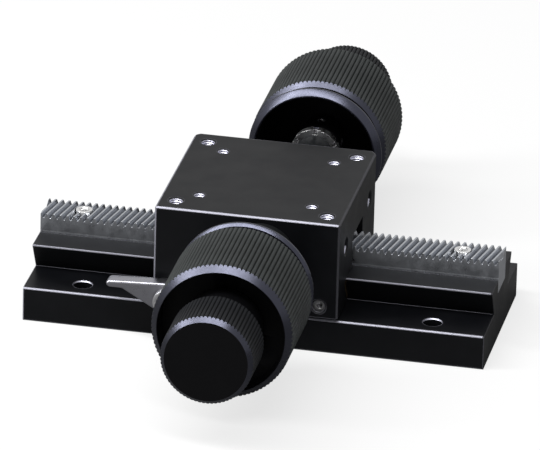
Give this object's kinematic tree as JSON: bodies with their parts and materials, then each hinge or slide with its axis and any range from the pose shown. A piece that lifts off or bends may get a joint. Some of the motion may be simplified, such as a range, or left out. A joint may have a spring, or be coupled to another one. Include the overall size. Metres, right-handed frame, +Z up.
{
  "type": "linear stage",
  "caption": "Dovetail linear stage on a flanged rail, driven by a rack and pinion with coaxial coarse and fine knobs at front and back, with a clamp lever.",
  "frame": {"origin": "centre of the rail's underside, which is also the centre of the box's base", "axes": "+X along the rail, +Y from the front knobs to the back knobs, +Z up"},
  "size_m": [0.15, 0.229, 0.0543],
  "materials": {
    "black_anodised": "black anodised, satin",
    "rack_steel": "cut teeth, oiled",
    "bright_steel": "bright turned",
    "screw_steel": "plain steel",
    "bearing_brass": "plain brass",
    "sleeve_black": "black anodised, turned",
    "ground_steel": "ground",
    "knob_black": "black anodised, knurled",
    "ring_grey": "anodised, turned smooth",
    "white_nylon": "plain",
    "lever_metal": "blasted"
  },
  "bodies": {
    "rail": {"base_rail": "black_anodised", "rack": "rack_steel", "rack_screws": "bright_steel"},
    "carriage": {"carriage_block": "black_anodised", "gib": "bearing_brass", "gib_screws": "screw_steel", "clamp_plug": "bearing_brass", "front_sleeve": "sleeve_black", "back_sleeve": "sleeve_black", "front_sleeve_screws": "screw_steel", "back_sleeve_screws": "screw_steel", "front_bushes": "bearing_brass", "back_bushes": "bearing_brass", "friction_nut": "screw_steel", "wave_washer": "screw_steel"},
    "coarse_drive": {"pinion_shaft": "ground_steel", "reducer_carrier": "ground_steel", "reducer_balls": "bright_steel", "front_coarse_knob": "knob_black", "back_coarse_knob": "knob_black", "front_skirt_ring": "ring_grey", "back_skirt_ring": "ring_grey", "front_knob_screws": "screw_steel", "back_knob_screws": "screw_steel"},
    "fine_drive": {"fine_shaft": "ground_steel", "front_fine_knob": "knob_black", "back_fine_knob": "knob_black", "fine_knob_screws": "screw_steel", "thrust_washers": "white_nylon"},
    "clamp": {"clamp_lever": "lever_metal", "clamp_screw": "bright_steel", "clamp_collar": "bright_steel"}
  },
  "joints": [
    {"name": "carriage_slide", "type": "slide", "parent": "rail", "child": "carriage", "axis": [1, 0, 0], "range_m": [-0.0427, 0.0473]},
    {"name": "coarse_turn", "type": "hinge", "parent": "carriage", "child": "coarse_drive", "pos_m": [0.0024, 0, 0.03176], "axis": [0, 1, 0], "range_deg": [-492, 545]},
    {"name": "fine_turn", "type": "hinge", "parent": "carriage", "child": "fine_drive", "pos_m": [0.0024, 0, 0.03176], "axis": [0, 1, 0], "range_deg": [-2952, 3270]},
    {"name": "clamp_turn", "type": "hinge", "parent": "carriage", "child": "clamp", "pos_m": [-0.0261, -0.0357, 0.0163], "axis": [0, 1, 0], "range_deg": [-15, 75]}
  ],
  "couplings": [
    {"joint": "coarse_turn", "follows": "carriage_slide", "rad_per_m": 200.33},
    {"joint": "fine_turn", "follows": "carriage_slide", "rad_per_m": 1202}
  ]
}
